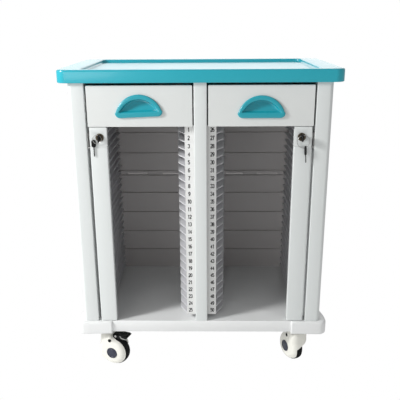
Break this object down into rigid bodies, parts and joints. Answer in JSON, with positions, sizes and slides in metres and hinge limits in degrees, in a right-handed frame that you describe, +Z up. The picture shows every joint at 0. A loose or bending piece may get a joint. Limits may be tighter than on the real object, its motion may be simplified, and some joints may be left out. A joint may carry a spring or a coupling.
{
  "type": "ward record trolley",
  "caption": "Ward trolley with a teal moulded worktop, a row of drawers above ribbed, numbered record slots, hinged locking bars with key locks, and swivel castors.",
  "frame": {"origin": "on the floor, under the middle of the trolley's bounding box", "axes": "+Z up, +X to the trolley's right as seen from the front, -Y towards the person who opens the drawers"},
  "size_m": [0.832, 0.48, 0.977],
  "materials": {
    "white_plastic": "satin",
    "drawer_white": "satin",
    "base_plastic": "semi-gloss",
    "teal_plastic": "gloss",
    "inner_grey": "matte",
    "rack_grey": "satin",
    "strip_white": "printed strip",
    "castor_cream": "gloss",
    "tyre_rubber": "moulded",
    "black_plastic": "satin",
    "zinc_steel": "zinc plated",
    "lock_brass": "dull"
  },
  "bodies": {
    "frame": {"base": "base_plastic", "worktop": "teal_plastic", "centre_column": "white_plastic", "partition": "inner_grey", "back_panel": "inner_grey", "front_left_column": "white_plastic", "front_left_bumper": "base_plastic", "rear_left_column": "white_plastic", "rear_left_bumper": "base_plastic", "left_side_panel": "white_plastic", "left_inner_rack": "rack_grey", "left_outer_rack": "rack_grey", "left_number_strip": "strip_white", "left_drawer_rail": "inner_grey", "left_pivot_bracket": "zinc_steel", "front_right_column": "white_plastic", "front_right_bumper": "base_plastic", "rear_right_column": "white_plastic", "rear_right_bumper": "base_plastic", "right_side_panel": "white_plastic", "right_inner_rack": "rack_grey", "right_outer_rack": "rack_grey", "right_number_strip": "strip_white", "right_drawer_rail": "inner_grey", "right_pivot_bracket": "zinc_steel", "front_left_castor_stem": "zinc_steel", "front_right_castor_stem": "zinc_steel", "rear_left_castor_stem": "zinc_steel", "rear_right_castor_stem": "zinc_steel"},
    "left_drawer": {"left_drawer_front": "drawer_white", "left_drawer_box": "drawer_white", "left_drawer_handle": "teal_plastic"},
    "left_bar": {"left_lock_bar": "white_plastic", "left_lock_block": "white_plastic", "left_lock_barrel": "lock_brass"},
    "left_lock": {"left_lock_plug": "lock_brass", "left_lock_cam": "zinc_steel", "left_key": "black_plastic"},
    "left_spare": {"left_spare_key": "black_plastic"},
    "right_drawer": {"right_drawer_front": "drawer_white", "right_drawer_box": "drawer_white", "right_drawer_handle": "teal_plastic"},
    "right_bar": {"right_lock_bar": "white_plastic", "right_lock_block": "white_plastic", "right_lock_barrel": "lock_brass"},
    "right_lock": {"right_lock_plug": "lock_brass", "right_lock_cam": "zinc_steel", "right_key": "black_plastic"},
    "right_spare": {"right_spare_key": "black_plastic"},
    "front_left_swivel": {"front_left_castor_housing": "castor_cream"},
    "front_left_wheel": {"front_left_castor_wheel": "tyre_rubber"},
    "front_left_pedal": {"front_left_brake_pedal": "black_plastic"},
    "front_right_swivel": {"front_right_castor_housing": "castor_cream"},
    "front_right_wheel": {"front_right_castor_wheel": "tyre_rubber"},
    "front_right_pedal": {"front_right_brake_pedal": "black_plastic"},
    "rear_left_swivel": {"rear_left_castor_housing": "castor_cream"},
    "rear_left_wheel": {"rear_left_castor_wheel": "tyre_rubber"},
    "rear_right_swivel": {"rear_right_castor_housing": "castor_cream"},
    "rear_right_wheel": {"rear_right_castor_wheel": "tyre_rubber"}
  },
  "joints": [
    {"name": "left_drawer_slide", "type": "slide", "parent": "frame", "child": "left_drawer", "axis": [0, -1, 0], "range_m": [0, 0.3]},
    {"name": "left_bar_swing", "type": "hinge", "parent": "frame", "child": "left_bar", "pos_m": [-0.3227, -0.2045, 0.46], "axis": [0, 0, -1], "range_deg": [0, 90]},
    {"name": "left_lock_turn", "type": "hinge", "parent": "left_bar", "child": "left_lock", "pos_m": [-0.2985, -0.211, 0.78], "axis": [0, 1, 0], "range_deg": [0, 90]},
    {"name": "left_spare_key_swing", "type": "hinge", "parent": "left_bar", "child": "left_spare", "pos_m": [-0.2985, -0.2156, 0.78], "axis": [0, -1, 0], "range_deg": [-8, 60]},
    {"name": "right_drawer_slide", "type": "slide", "parent": "frame", "child": "right_drawer", "axis": [0, -1, 0], "range_m": [0, 0.3]},
    {"name": "right_bar_swing", "type": "hinge", "parent": "frame", "child": "right_bar", "pos_m": [0.3227, -0.2045, 0.46], "axis": [0, 0, 1], "range_deg": [0, 90]},
    {"name": "right_lock_turn", "type": "hinge", "parent": "right_bar", "child": "right_lock", "pos_m": [0.2985, -0.211, 0.78], "axis": [0, -1, 0], "range_deg": [0, 90]},
    {"name": "right_spare_key_swing", "type": "hinge", "parent": "right_bar", "child": "right_spare", "pos_m": [0.2985, -0.2156, 0.78], "axis": [0, 1, 0], "range_deg": [-20, 35]},
    {"name": "front_left_castor_swivel", "type": "hinge", "parent": "frame", "child": "front_left_swivel", "pos_m": [-0.318, -0.181, 0.118], "axis": [0, 0, 1], "continuous": true},
    {"name": "front_left_wheel_spin", "type": "hinge", "parent": "front_left_swivel", "child": "front_left_wheel", "pos_m": [-0.29179, -0.19085, 0.05], "axis": [0.3518, 0.9361, 0], "continuous": true},
    {"name": "front_left_brake_press", "type": "hinge", "parent": "front_left_swivel", "child": "front_left_pedal", "pos_m": [-0.29179, -0.19085, 0.11], "axis": [0.3518, 0.9361, 0], "range_deg": [0, 10]},
    {"name": "front_right_castor_swivel", "type": "hinge", "parent": "frame", "child": "front_right_swivel", "pos_m": [0.318, -0.181, 0.118], "axis": [0, 0, 1], "continuous": true},
    {"name": "front_right_wheel_spin", "type": "hinge", "parent": "front_right_swivel", "child": "front_right_wheel", "pos_m": [0.30661, -0.15542, 0.05], "axis": [-0.9135, -0.4067, 0], "continuous": true},
    {"name": "front_right_brake_press", "type": "hinge", "parent": "front_right_swivel", "child": "front_right_pedal", "pos_m": [0.30661, -0.15542, 0.11], "axis": [-0.9135, -0.4067, 0], "range_deg": [0, 10]},
    {"name": "rear_left_castor_swivel", "type": "hinge", "parent": "frame", "child": "rear_left_swivel", "pos_m": [-0.318, 0.202, 0.118], "axis": [0, 0, 1], "continuous": true},
    {"name": "rear_left_wheel_spin", "type": "hinge", "parent": "rear_left_swivel", "child": "rear_left_wheel", "pos_m": [-0.29594, 0.18476, 0.05], "axis": [0.6157, 0.788, 0], "continuous": true},
    {"name": "rear_right_castor_swivel", "type": "hinge", "parent": "frame", "child": "rear_right_swivel", "pos_m": [0.318, 0.202, 0.118], "axis": [0, 0, 1], "continuous": true},
    {"name": "rear_right_wheel_spin", "type": "hinge", "parent": "rear_right_swivel", "child": "rear_right_wheel", "pos_m": [0.32939, 0.17642, 0.05], "axis": [0.9135, 0.4067, 0], "continuous": true}
  ]
}
